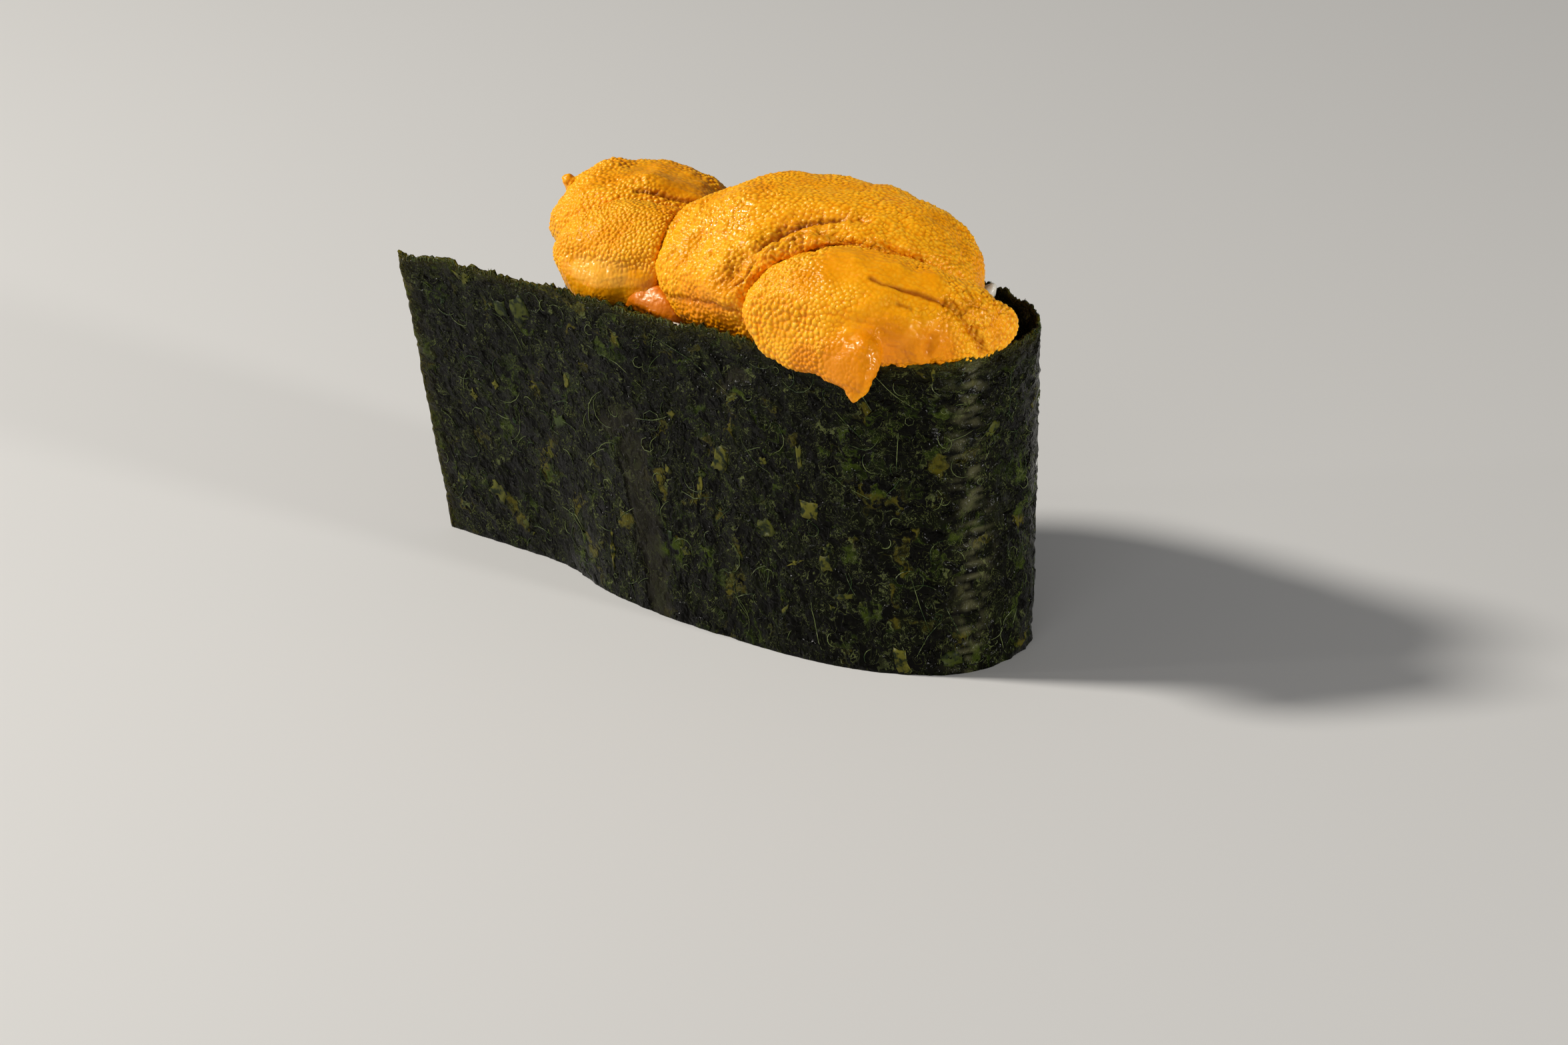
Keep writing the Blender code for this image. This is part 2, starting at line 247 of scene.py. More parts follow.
def beads(points, spacing, seed):
    # domes packed side by side: their height from 0 to 1, and a number of its own for each
    rng = np.random.default_rng(seed)
    order = rng.permutation(len(points))
    cell = np.floor(points[order] / (spacing * 1.15) + rng.random(3)).astype(np.int64)
    key = (cell[:, 0] * 73856093) ^ (cell[:, 1] * 19349663) ^ (cell[:, 2] * 83492791)
    seeds = points[order][np.unique(key, return_index=True)[1]]
    for turn in range(2):
        tree = kdtree.KDTree(len(seeds))
        for i, p in enumerate(seeds.tolist()):
            tree.insert(p, i)
        tree.balance()
        if turn == 0:  # each seed moves to the middle of what is nearest to it
            near = np.fromiter((tree.find(p)[1] for p in points.tolist()), int, len(points))
            total = np.zeros((len(seeds), 3))
            np.add.at(total, near, points)
            count = np.bincount(near, minlength=len(seeds))
            kept = count > 3
            seeds = total[kept] / count[kept][:, None]
    height, tint = np.zeros(len(points)), np.zeros(len(points))
    tints, sizes = rng.random(len(seeds)), rng.uniform(0.72, 1.25, len(seeds)).tolist()
    for i, p in enumerate(points.tolist()):
        near = sorted((far / sizes[k], k) for found, k, far in tree.find_n(p, 5))
        (first, k), (second, other) = near[0], near[1]
        edge = (second - first) / (second + first)
        ball = max(1 - (first / (0.8 * spacing)) ** 2, 0.0)
        height[i], tint[i] = (0.6 + 0.4 * sizes[k]) * (0.55 * edge * (2 - edge) + 0.45 * ball), tints[k]
    return height, tint


# Places are in mm in the part's frame. Lists of balls (centre, reach) say where a piece is smooth, wet,
# deep in colour or folded; a pull moves what is near its centre.
uniPieces = {
    "uni_center": {
        "faces": 68000, "round": 11, "bead": 0.50, "beadHeight": 0.26, "seed": 3, "grainWay": (0.8, 0.5, -0.3),
        "pulls": [((7.2, -11.4, 35.6), 3.4, (-0.1, -0.5, 0.0)), ((-1.5, -10.8, 35.5), 4.2, (-0.2, -0.45, 0.1))],
        "creases": [
            {"path": [(8.2, -12.0, 37.0), (9.5, -10.7, 39.1), (10.6, -9.3, 40.5), (11.1, -7.1, 41.2), (12.1, -5.9, 41.8), (14.3, -4.4, 42.4), (17.0, -3.0, 42.9)],
             "depth": 0.55, "width": 1.1, "dark": 0.25},
            {"path": [(10.0, -10.0, 39.9), (10.6, -9.0, 40.6), (11.1, -7.1, 41.2), (12.1, -5.9, 41.8), (13.1, -5.1, 42.1), (15.5, -3.7, 42.8)],
             "depth": 0.35, "width": 0.30, "dark": 1.0},
            {"path": [(11.2, -8.6, 40.8), (12.6, -8.4, 40.5), (14.2, -7.2, 41.0)], "depth": 0.35, "width": 0.3, "dark": 0.6},
            {"path": [(15.2, -6.3, 41.7), (17.5, -6.6, 41.3), (19.4, -5.6, 41.0), (21.5, -4.3, 40.6), (23.5, -2.4, 39.7)],
             "depth": 0.50, "width": 0.7, "dark": 0.4},
            {"path": [(-5.0, -8.0, 32.9), (-3.8, -8.9, 32.7), (0.7, -11.3, 33.3), (3.9, -12.1, 33.8), (6.5, -12.3, 34.2), (9.5, -12.2, 34.1)],
             "depth": 0.2, "width": 0.3, "dark": 0.5},
        ],
        "ridges": [
            {"path": [(11.6, -10.2, 39.6), (13.6, -7.7, 40.9), (15.7, -7.0, 41.4)], "height": 0.5, "width": 0.8},
            {"path": [(7.2, -10.2, 39.2), (8.6, -7.4, 41.0), (10.2, -4.9, 42.2)], "height": 0.25, "width": 1.3},
        ],
        "folded": [((12.8, -8.6, 40.4), 3.6), ((15.9, -6.9, 41.3), 2.8), ((10.4, -11.4, 37.8), 3.2), ((20.4, -4.9, 40.8), 2.4)],
        "smooth": [], "wet": [((3.4, -6.5, 41.8), 5.4), ((12.6, -7.6, 41.0), 3.0)], "deep": [((5.0, -11.5, 31.4), 5.6)],
    },
    "uni_front": {
        "faces": 68000, "round": 12, "bead": 0.56, "beadHeight": 0.25, "seed": 5, "grainWay": (0.8, 0.45, -0.25),
        "pulls": [((32.8, 1.4, 34.6), 3.2, (0.35, 0.3, 0.35)), ((28.8, -9.4, 36.6), 3.0, (0.25, -0.4, 0.0)),
                  ((24.6, -14.2, 35.6), 3.4, (0.1, 0.5, -0.2)), ((15.2, -14.8, 35.4), 3.6, (-0.2, -0.3, 0.0))],
        "creases": [
            {"path": [(24.4, -10.0, 40.2), (25.6, -9.7, 39.8), (26.8, -8.5, 39.3), (27.9, -7.4, 38.7), (28.8, -6.6, 38.2), (29.9, -5.7, 37.7)],
             "depth": 0.22, "width": 0.24, "dark": 0.85},
            {"path": [(27.4, -9.6, 38.2), (28.4, -8.9, 37.7)], "depth": 0.12, "width": 0.25, "dark": 0.6},
            {"path": [(29.9, -5.7, 37.9), (30.6, -5.2, 37.5), (31.5, -4.8, 36.2), (31.9, -3.8, 34.7), (32.0, -2.7, 32.9)],
             "depth": 0.55, "width": 0.5, "dark": 0.5},
            {"path": [(30.6, -8.0, 35.0), (30.0, -8.2, 33.6)], "depth": 0.25, "width": 0.5, "dark": 0.3},
        ],
        "ridges": [{"path": [(16.0, -11.6, 40.0), (20.0, -9.8, 41.0), (24.0, -8.8, 40.8)], "height": 0.25, "width": 1.6}],
        "folded": [((32.2, -1.8, 36.2), 4.4)], "thin": [((25.8, -15.2, 29.0), 2.8)],
        "smooth": [((21.8, -9.3, 41.0), 3.9), ((25.4, -8.6, 40.3), 3.6), ((27.8, -6.6, 39.0), 3.2), ((26.0, -14.7, 32.4), 4.2),
                   ((27.0, -11.6, 35.6), 4.8), ((29.4, -8.6, 34.5), 3.8), ((26.8, -14.8, 30.0), 3.2)],
        "wet": [((20.2, -11.8, 40.4), 3.0), ((27.6, -11.6, 34.2), 3.6)],
        "deep": [((25.2, -15.0, 32.8), 4.0), ((27.6, -11.8, 33.6), 4.6), ((30.0, -8.0, 33.0), 4.0), ((20.6, -15.0, 31.9), 2.8)],
    },
    "uni_left": {
        "faces": 64000, "round": 16, "calm": 0.5, "bead": 0.46, "beadHeight": 0.18, "seed": 7, "grainWay": (0.8, 0.3, 0.3),
        "pulls": [((-14.3, -10.8, 34.6), 4.2, (-0.5, -0.4, 0.0)), ((-8.0, -12.0, 31.6), 5.6, (0.1, -0.25, -0.9)),
                  ((-3.6, -10.2, 32.6), 3.0, (0.3, -0.3, -0.5))],
        "creases": [{"path": [(-12.4, -12.1, 34.9), (-9.9, -12.3, 34.9), (-7.0, -12.0, 34.9), (-4.4, -10.9, 35.0)], "depth": 0.18, "width": 0.7, "dark": 0.1}],
        "ridges": [], "folded": [],
        "smooth": [((-11.4, -12.3, 32.8), 2.5), ((-9.2, -12.3, 32.9), 2.6), ((-7.0, -11.8, 32.9), 2.6), ((-4.8, -11.0, 33.0), 2.5), ((-3.0, -10.0, 32.8), 2.6)],
        "wet": [((-10.6, -12.3, 33.2), 3.2), ((-7.0, -11.8, 33.4), 3.4), ((-3.8, -10.6, 33.0), 3.0)],
        "deep": [((-3.2, -10.4, 31.4), 3.0)],
        # gleam: where a painted highlight lies along the top edge of the smooth wet band
        "gleam": [((-10.4, -12.4, 34.0), 1.7), ((-8.4, -12.4, 34.1), 1.9), ((-6.4, -12.0, 34.2), 1.7)],
    },
    "uni_back": {
        "faces": 68000, "round": 13, "bead": 0.54, "beadHeight": 0.23, "seed": 9, "grainWay": (0.75, 0.5, -0.42),
        "pulls": [((-23.8, -2.2, 35.2), 5.0, (0.75, 0.6, 0.0)), ((-20.2, -4.2, 32.4), 5.0, (-0.6, -0.5, -0.3)),
                  ((-19.5, 2.5, 38.8), 4.6, (-0.1, 0.1, 0.4)), ((-22.4, -0.8, 37.0), 0.75, (-0.6, -0.5, 1.1))],
        "creases": [
            {"path": [(-11.9, -2.6, 39.1), (-11.3, -2.1, 39.0), (-9.4, -1.0, 38.6), (-8.3, -0.3, 38.3), (-7.2, 0.9, 37.8), (-6.0, 1.6, 37.2)],
             "depth": 0.40, "width": 0.28, "dark": 0.8},
        ],
        "ridges": [{"path": [(-12.6, -0.6, 39.6), (-9.6, 1.0, 39.2), (-7.0, 2.2, 38.2)], "height": 0.3, "width": 1.2}],
        "folded": [((-22.4, -2.4, 36.2), 2.6)],
        "smooth": [((-13.6, 2.0, 39.7), 3.8), ((-10.2, 2.0, 39.2), 4.0), ((-7.4, 2.6, 38.0), 3.4)], "wet": [((-19.0, 1.5, 38.8), 3.4)], "deep": [],
    },
    "uni_tucked": {
        "faces": 20000, "round": 16, "calm": 0.3, "bead": 0.5, "beadHeight": 0.03, "seed": 11, "grainWay": (0.35, 0.0, 0.95),
        "pulls": [((-2.4, -11.6, 32.6), 4.0, (-0.2, 0.7, -0.1)), ((0.6, -11.4, 31.0), 2.0, (0.2, 0.1, 0.0))],
        "creases": [], "ridges": [], "folded": [], "smooth": [((-3.0, -10.0, 31.0), 9.0)], "wet": [], "deep": [],
    },
}
uniRelief = {
    "swell": 0.22,            # pieces grow by this, so that they press against each other
    "lumps": [(3.6, 0.34), (1.5, 0.20)],     # size and height
    "folds": [(1.7, 0.26), (0.9, 0.14)],
    "streaks": (0.42, 0.09),
}


def uniMesh(node, shape):
    rough, area = mergedCopy(node)
    levels = 2
    mesh = finished(rough, [
        {"kind": "REMESH", "mode": "VOXEL", "voxel_size": 4 * math.sqrt(area / shape["faces"]), "use_smooth_shade": True},
        {"kind": "SMOOTH", "factor": 0.5, "iterations": shape["round"]},
        {"kind": "SUBSURF", "levels": levels, "render_levels": levels}])
    bpy.data.meshes.remove(rough)
    points = pointsOf(mesh) / mm
    for centre, reach, shift in shape["pulls"]:
        near = 1 - softStep(np.linalg.norm(points - np.array(centre), axis=1), 0, reach)
        points += near[:, None] * np.array(shift)
    setPoints(mesh, points * mm)
    out, seed = normalsOf(mesh), shape["seed"]
    smooth, folded, wet, deep = (spots(points, shape[name]) for name in ("smooth", "folded", "wet", "deep"))
    lift = np.full(len(points), uniRelief["swell"])
    for size, height in uniRelief["lumps"]:
        lift += height * shape.get("calm", 1.0) * noiseAt(points, size, seed)
    # dark is painted shade: it darkens the crease lines and the valleys between the lumps
    dark = np.zeros(len(points))
    for size, height in uniRelief["folds"]:  # soft lumps with thin valleys between them
        valley = 1 - softStep(np.abs(noiseAt(points, size, seed + 5.0)), 0.0, 0.16)
        lift -= height * valley * (0.12 + 0.88 * folded) * (1 - 0.6 * smooth)
        dark = np.maximum(dark, 0.35 * valley * (0.1 + 0.9 * folded))
    for crease in shape["creases"]:
        wander = alongPath(points, crease["path"], out) + 0.5 * crease["width"] * noiseAt(points, 0.8, 4.0)
        cut = np.exp(-(wander / crease["width"]) ** 2)
        lift -= crease["depth"] * cut
        dark = np.maximum(dark, crease["dark"] * cut)
    lift -= 0.45 * spots(points, shape.get("thin", []))
    for ridge in shape["ridges"]:
        lift += ridge["height"] * np.exp(-(alongPath(points, ridge["path"], out) / ridge["width"]) ** 2)
    way = np.array(shape["grainWay"]) / np.linalg.norm(shape["grainWay"])
    size, height = uniRelief["streaks"]
    drawn = points - 0.86 * (points @ way)[:, None] * way
    streak = noiseAt(drawn, size, 8.0)
    lift += height * shape.get("calm", 1.0) * streak * (0.2 + 0.8 * smooth)
    points += out * lift[:, None]
    low, high = (np.array(corner) / mm for corner in cadBox)
    for side, wall in ((1, high - 1.0), (-1, low + 1.0)):  # rounds off what would stand out of the CAD's box
        over = np.maximum(side * (points - wall), 0)
        points -= side * (over - 0.8 * (1 - np.exp(-over / 0.8)))
    setPoints(mesh, points * mm)
    out = normalsOf(mesh)
    warped = points + 0.16 * np.stack([noiseAt(points, 1.0, s) for s in (1.0, 2.0, 3.0)], 1)
    bead, tint = beads(warped, shape["bead"], seed)
    uneven = 0.75 + 0.7 * noiseAt(points, 2.6, 15.0)
    rise = shape["beadHeight"] * (bead - 0.5) * (1 - 0.75 * smooth) * (1 - 0.3 * folded) * uneven
    setPoints(mesh, np.clip(points + out * rise[:, None], low + 0.01, high - 0.01) * mm)
    for name, values in {"grain": bead, "tint": tint, "crease": np.clip(dark, 0, 1), "smooth": smooth, "wet": wet,
                         "deep": deep, "streak": 0.5 + streak, "gleam": spots(points, shape.get("gleam", []))}.items():
        setAttribute(mesh, name, values)
    return mesh


uniTones = {
    "top": (0.90, 0.40, 0.006), "groove_shade": (0.80, 0.265, 0.001), "pale_tint_and_glint": (0.95, 0.55, 0.05), "satin": (0.82, 0.30, 0.001),
    "gleam": (0.93, 0.46, 0.05), "deep": (0.70, 0.215, 0.0002), "crease": (0.22, 0.025, 0.001),
}
# a darker copy of the roe colours for uni_tucked, which lies under its neighbours: partly its own redder tone, partly
# painted shade
tuckedShadeTones = {
    "top": (0.62, 0.16, 0.002), "groove_shade": (0.50, 0.11, 0.001), "pale_tint_and_glint": (0.72, 0.25, 0.01), "satin": (0.58, 0.14, 0.001),
    "gleam": (0.72, 0.25, 0.01), "deep": (0.45, 0.08, 0.001), "crease": (0.28, 0.04, 0.001),
}


def uniPaint(tones):
    def build(w):
        place = w.node("ShaderNodeTexCoord", take=3)
        grain, tint, crease, streak = (w.attribute(name) for name in ("grain", "tint", "crease", "streak"))
        smooth, wet, deep = (w.attribute(name) for name in ("smooth", "wet", "deep"))
        cloud, speck = w.noise(place, 260.0, 3.0), w.noise(place, 1500.0, 2.0)
        # darker, redder grooves between the beads: painted shade
        color = w.mix(grain.between(0.12, 0.72), tones["groove_shade"], tones["top"])
        # some bead tops paler: a tone that differs at random per bead, partly a painted highlight on the tops
        color = w.mix(0.55 * tint * grain.between(0.5, 1.0), color, tones["pale_tint_and_glint"])
        color = w.mix((0.7 * smooth + 0.35 * (streak - 0.5)).clamp(), color, tones["satin"])
        color = w.mix(0.5 * smooth * streak.between(0.55, 0.95), color, tones["top"])
        color = w.mix(1.1 * cloud.between(0.48, 0.72), color, tones["satin"])
        color = w.mix((0.75 * deep + 0.2 * deep * speck).clamp(), color, tones["deep"])
        # painted highlight: paler colour along the top of uni_left's wet band
        color = w.mix(0.6 * w.attribute("gleam"), color, tones["gleam"])
        # painted shade in the creases and fold valleys
        color = w.mix((0.95 * crease).clamp(), color, tones["crease"])
        fineBump = w.noise(place, 4200.0, 3.0)
        bump = w.node("ShaderNodeBump", {}, {"Strength": 1.0, "Distance": 0.0001,
                                             "Height": 0.8 * grain * (1 - 0.8 * smooth) + 0.12 * fineBump + 0.14 * speck})
        return {"Base Color": color, "Roughness": 0.30 - 0.04 * wet + 0.14 * (fineBump - 0.5) + 0.07 * smooth,
                "Coat Weight": 0.07 + 0.17 * wet, "Normal": bump}
    return build


uniFinish = {"IOR": 1.40, "Specular IOR Level": 0.36, "Coat Roughness": 0.14, "Specular Tint": (1.0, 0.76, 0.38, 1.0), "Coat Tint": (1.0, 0.95, 0.85, 1.0),
             "Subsurface Weight": 0.22, "Subsurface Radius": (1.0, 0.50, 0.12), "Subsurface Scale": 0.0005}
uniSkin = newMaterial("uniSkin", uniPaint(uniTones), **uniFinish)
tuckedShadedSkin = newMaterial("tuckedShadedSkin", uniPaint(tuckedShadeTones), **uniFinish)
for node, shape in uniPieces.items():
    mesh = uniMesh(node, shape)
    tucked = node == "uni_tucked"
    newObject(node + "_roe", mesh, [tuckedShadedSkin if tucked else uniSkin], [node])
    print("sea urchin", node, len(mesh.polygons) * 2, "triangles")


noriShape = {
    "left": 27.0, "right": 25.6, "halfWidth": 13.0, "squareness": 2.5, "flare": 1.3, "width": 32.4, "thickness": 0.26,
    "tuckDepth": 0.65, "start": -78.0, "shoulder": 12.0, "easeFrom": -180.0, "easeTo": -300.0, "end": -450.0,
    "flapEnd": -39.7, "flapFoot": 8.8, "flapTop": 16.0, "flapBlend": 1.2, "column": 2.0,
    "dipMiddle": -6.0, "dipReach": 8.0, "dipDepth": 0.8, "drop": 0.6, "wave": 0.6,
    "across": 560, "rows": 84,
    # smooth patches of leaf with a painted grey sheen, as paths of (x, height, half width) along the front
    "bare": [[(-7.0, 19.2, 1.8), (-4.4, 20.6, 1.6)], [(-3.6, 17.5, 2.4), (-2.5, 10.6, 2.2), (-1.2, 4.3, 1.9), (-0.8, 0.6, 1.6)],
             [(8.2, 26.6, 0.9), (10.6, 28.6, 1.2)]],
}


def loopPlace(angle, grow, share):
    shape = noriShape
    power = 2 / shape["squareness"]
    c, s = np.cos(angle), np.sin(angle)
    length = grow + np.where(c > 0, shape["right"], shape["left"] + shape["flare"] * share)
    width = grow + shape["halfWidth"] + shape["flare"] * share
    return np.stack([length * np.sign(c) * np.abs(c) ** power, width * np.sign(s) * np.abs(s) ** power], -1)


def noriStrip():
    # the strip's outer face in plan at close steps: how far along, its foot, its top, how far it is tucked in
    shape = noriShape
    angle = np.radians(np.linspace(shape["start"], shape["end"], 6000))
    inwards = softStep(np.radians(shape["start"] + shape["shoulder"]) - angle, 0, math.radians(shape["shoulder"]))
    outwards = softStep(-angle, -math.radians(shape["easeFrom"]), -math.radians(shape["easeTo"]))
    tuck = np.minimum(inwards, 1 - outwards)
    foot, top = (loopPlace(angle, -shape["tuckDepth"] * tuck, share) for share in (0, 1))
    x = np.linspace(0, shape["flapEnd"], 900)[1:]
    wall = shape["halfWidth"] * (1 - np.minimum(-x / shape["left"], 1) ** shape["squareness"]) ** (1 / shape["squareness"])
    footY = 0.5 * (wall + shape["flapFoot"] + np.hypot(wall - shape["flapFoot"], shape["flapBlend"]))
    startY = shape["halfWidth"] + shape["flare"]
    topY = startY + (shape["flapTop"] - startY) * x / shape["flapEnd"]
    foot = np.vstack([foot, np.stack([x, -footY], 1)])
    top = np.vstack([top, np.stack([x, -topY], 1)])
    tuck = np.concatenate([tuck, np.zeros(len(x))])
    along = np.concatenate([[0], np.cumsum(np.linalg.norm(np.diff(foot, axis=0), axis=1))])
    return along, foot, top, tuck


noriAlong, noriFoot, noriTop, noriTuck = noriStrip()
noriLength = float(noriAlong[-1])
frontPart = (noriFoot[:, 1] < 0) & (noriAlong > 60)  # the outer layer along the front, right to left


def frontAlong(x):
    # how far along the strip a place on the front is, from its x in the part's frame
    return np.interp(loopCentre.x / mm - np.asarray(x, float), -noriFoot[frontPart, 0], noriAlong[frontPart])


def noriPlace(along, share):
    # places on the strip before its relief, the way out of it and how far it is tucked in
    def at(where, values):
        return np.stack([np.interp(where, noriAlong, values[:, k]) for k in (0, 1)], 1)
    shape = noriShape
    foot, top = at(along, noriFoot), at(along, noriTop)
    heading = at(along + 0.4, noriFoot) - at(along - 0.4, noriFoot)
    heading /= np.linalg.norm(heading, axis=1)[:, None]
    zero = np.zeros(len(along))
    wave = noiseAt(np.stack([along / shape["column"] * 0.37, zero + 2, zero], 1), 1.0)
    nick = noiseAt(np.stack([along / shape["column"] * 1.13, zero + 7, zero], 1), 1.0)
    tuck = np.interp(along, noriAlong, noriTuck)
    dip = shape["dipDepth"] * np.exp(-((foot[:, 0] - shape["dipMiddle"]) / shape["dipReach"]) ** 2) * (foot[:, 1] < 0)
    height = np.sqrt(shape["width"] ** 2 - ((top - foot) ** 2).sum(1)) + shape["wave"] * (wave + 0.5 * nick) - dip - shape["drop"] * tuck
    plan = foot + (top - foot) * share[:, None]
    points = np.concatenate([plan, (height * share)[:, None]], 1) + np.array(loopCentre) / mm
    return points, np.stack([-heading[:, 1], heading[:, 0], zero], 1), tuck


def noriSkinAt(along, share):
    # the same with its crinkles and its frayed rim
    points, out, tuck = noriPlace(along, share)
    sheet = np.stack([along, share * noriShape["width"], np.zeros(len(along))], 1)
    edge = sheet * [1, 0, 0]
    rim = softStep(share, 0.96, 1.0)
    fray = 0.28 * noiseAt(edge, 1.2, 5.0) + 0.50 * noiseAt(edge, 0.45, 9.0) + 1.3 * np.maximum(noiseAt(edge, 1.9, 13.0) - 0.22, 0)
    points[:, 2] += (fray - 0.12) * rim
    bend = 1 - softStep(np.abs(points[:, 0] - 31.6), 1.2, 4.0)  # the round end, where the leaf is crinkled across
    sharp = 1 - 2.6 * np.abs(noiseAt(sheet * [0.8, 1.0, 1], 2.1, 1.0))
    small = 1 - 2.6 * np.abs(noiseAt(sheet * [1.0, 1.2, 1], 0.95, 3.0))
    across = 1 - 2.6 * np.abs(noiseAt(sheet * [0.55, 1.7, 1] + sheet[:, [1, 0, 2]] * [0.35, 0, 0], 1.5, 6.0))
    relief = 0.26 * noiseAt(sheet, 9.0, 2.0) * softStep(sheet[:, 1], 1.0, 8.0) + 0.11 * sharp + 0.06 * small + 0.20 * across * bend
    relief += 0.16 * noiseAt(edge, 0.6, 21.0) * softStep(share, 0.97, 1.0)
    relief = (relief - 0.2) * (1 - 0.75 * softStep(tuck, 0.3, 1.0))
    points += out * relief[:, None]
    points[:, 0] += 0.35 * noiseAt(sheet * [0, 1, 0], 0.9, 17.0) * np.exp(-np.minimum(along, noriLength - along) / 0.8)
    low, high = (np.array(corner) / mm for corner in cadBox)
    return np.clip(points, low + 0.01, high - 0.01), out, sheet


def noriMesh():
    shape = noriShape
    across, rows = ((shape["across"], shape["rows"]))
    bm = bmesh.new()
    bm.loops.layers.uv.new("strip")
    bmesh.ops.create_grid(bm, x_segments=across, y_segments=rows, size=0.5, calc_uvs=True)
    bmesh.ops.reverse_faces(bm, faces=bm.faces)  # so that the faces point out of the loop
    mesh = bpy.data.meshes.new("strip")
    bm.to_mesh(mesh)
    bm.free()
    flat = pointsOf(mesh)
    along = (flat[:, 0] + 0.5) * noriLength
    share = 1 - (1 - (flat[:, 1] + 0.5)) ** 1.2  # rows lie closer together towards the rim
    points, out, sheet = noriSkinAt(along, share)
    setPoints(mesh, points * mm)
    # mask of the smooth patches that get a painted grey sheen, a painted reflection
    bare = np.zeros(len(points))
    for path in shape["bare"]:
        for (x, z, half), (x2, z2, half2) in zip(path, path[1:]):
            a, b = np.array([float(frontAlong(x)), z, 0]), np.array([float(frontAlong(x2)), z2, 0])
            far = alongPath(sheet, [a, b]) + 1.1 * noiseAt(sheet, 1.6, 31.0)
            bare = np.maximum(bare, 1 - softStep(far, 0.6 * half, half))
    setAttribute(mesh, "rim", np.exp(-(1 - share) * shape["width"] / 0.6) + 0.7 * np.exp(-np.minimum(along, noriLength - along) / 0.6))
    setAttribute(mesh, "bare", bare)
    # painted highlight: a pale band of glints painted on the crinkles of the round end
    band = np.exp(-((along - frontAlong(31.6 - 0.2 * np.cos(sheet[:, 1] / 4))) / 1.5) ** 2)
    setAttribute(mesh, "crinkle", band * softStep(noiseAt(sheet * [0.5, 1.5, 1] + sheet[:, [1, 0, 2]] * [0.35, 0, 0], 0.9, 6.0), -0.05, 0.3))
    made = finished(mesh, [{"kind": "SOLIDIFY", "thickness": shape["thickness"] * mm, "offset": -1.0, "use_even_offset": False,
                            "material_offset": 1}])
    bpy.data.meshes.remove(mesh)
    return boxed(made)


noriTones = {
    "black": (0.0010, 0.0009, 0.0004), "dark": (0.0022, 0.0024, 0.0006), "green": (0.0080, 0.0135, 0.0012),
    "bright": (0.032, 0.047, 0.003), "olive": (0.085, 0.072, 0.006), "thread_and_glint": (0.125, 0.145, 0.045), "bare": (0.014, 0.012, 0.007),
    "crinkle": (0.13, 0.125, 0.06),
}
insideTones = {
    "black": (0.0070, 0.0065, 0.0030), "dark": (0.018, 0.018, 0.0060), "green": (0.034, 0.042, 0.010),
    "bright": (0.060, 0.070, 0.016), "olive": (0.100, 0.080, 0.016), "thread_and_glint": (0.090, 0.090, 0.040), "bare": (0.030, 0.028, 0.018),
    "crinkle": (0.060, 0.055, 0.025),
}


def noriPaint(tones, dull):
    def build(w):
        # the strip's own map runs along it and up it; here in mm
        flat = w.node("ShaderNodeUVMap", {"uv_map": "strip"})
        place = w.node("ShaderNodeMapping", {}, {"Vector": flat, "Scale": (noriLength, noriShape["width"], 1.0)})
        stir = w.node("ShaderNodeVectorMath", {"operation": "MULTIPLY_ADD"},
                      {0: w.node("ShaderNodeTexNoise", {}, {"Vector": place, "Scale": 0.9}, take=1), 1: (3.0, 3.0, 0.0), 2: place})
        cloud, fine = w.noise(place, 0.14, 2.0), w.noise(place, 4.0, 2.0)
        patch = w.noise(stir, 0.17, 3.0, 0.6).between(0.49, 0.61)     # where green leaf shows through the black
        leaf = w.noise(stir, 0.62, 3.0, 0.55, 1.0)
        lines = (1 - 55.0 * w.noise(stir, 0.42, 2.0, 0.5, 1.6).far(0.5)).clamp() * w.noise(place, 0.33, 1.0).between(0.44, 0.58)
        threads = (1 - 70.0 * w.noise(place, 0.6, 3.0, 0.55, 2.4).far(0.48)).clamp() * leaf.between(0.42, 0.55)
        bare, rim, crinkle = w.attribute("bare"), w.attribute("rim"), w.attribute("crinkle")
        color = w.mix(leaf.between(0.38, 0.58), tones["black"], tones["dark"])
        color = w.mix(leaf.between(0.49, 0.59) * (0.12 + 0.88 * patch), color, tones["green"])
        color = w.mix(0.9 * leaf.between(0.57, 0.66) * patch, color, tones["bright"])
        color = w.mix(0.8 * w.noise(stir, 0.26, 2.0, 0.5, 0.5).between(0.60, 0.70) * leaf.between(0.44, 0.56), color, tones["olive"])
        # pale leaf threads and lines: partly the threads' own colour, partly painted glints along them
        color = w.mix((0.65 * lines + 0.75 * threads).clamp(), color, tones["thread_and_glint"])
        # painted sheen: a grey reflection painted into the colour of the smooth patches
        color = w.mix(0.8 * bare * (0.5 + 0.5 * leaf.between(0.4, 0.6)), color, tones["bare"])
        # painted highlight on the crinkles of the round end
        color = w.mix(0.5 * crinkle, color, tones["crinkle"])
        color = w.mix((0.8 * rim * fine.between(0.35, 0.6)).clamp(), color, tones["olive"])
        height = w.noise(stir, 0.50, 1.0, 0.4, 0.6) + 0.22 * leaf + 0.10 * lines + 0.05 * threads + 0.03 * fine
        bump = w.node("ShaderNodeBump", {}, {"Strength": 1.0, "Distance": 0.0008, "Height": height * (1 - 0.6 * bare)})
        rough = dull + 0.5 * (leaf - 0.5) + 0.35 * (cloud - 0.5) + 0.10 * (fine - 0.5) - 0.06 * lines
        return {"Base Color": color, "Roughness": rough.clamp(), "Normal": bump}
    return build


noriOutside = newMaterial("noriOutside", noriPaint(noriTones, 0.22), **{"IOR": 1.42, "Specular IOR Level": 0.08})
noriInside = newMaterial("noriInside", noriPaint(insideTones, 0.58), **{"IOR": 1.42, "Specular IOR Level": 0.14})
noriSheet = noriMesh()
newObject("nori_strip", noriSheet, [noriOutside, noriInside], ["nori"])
print("nori", len(noriSheet.polygons) * 2, "triangles")


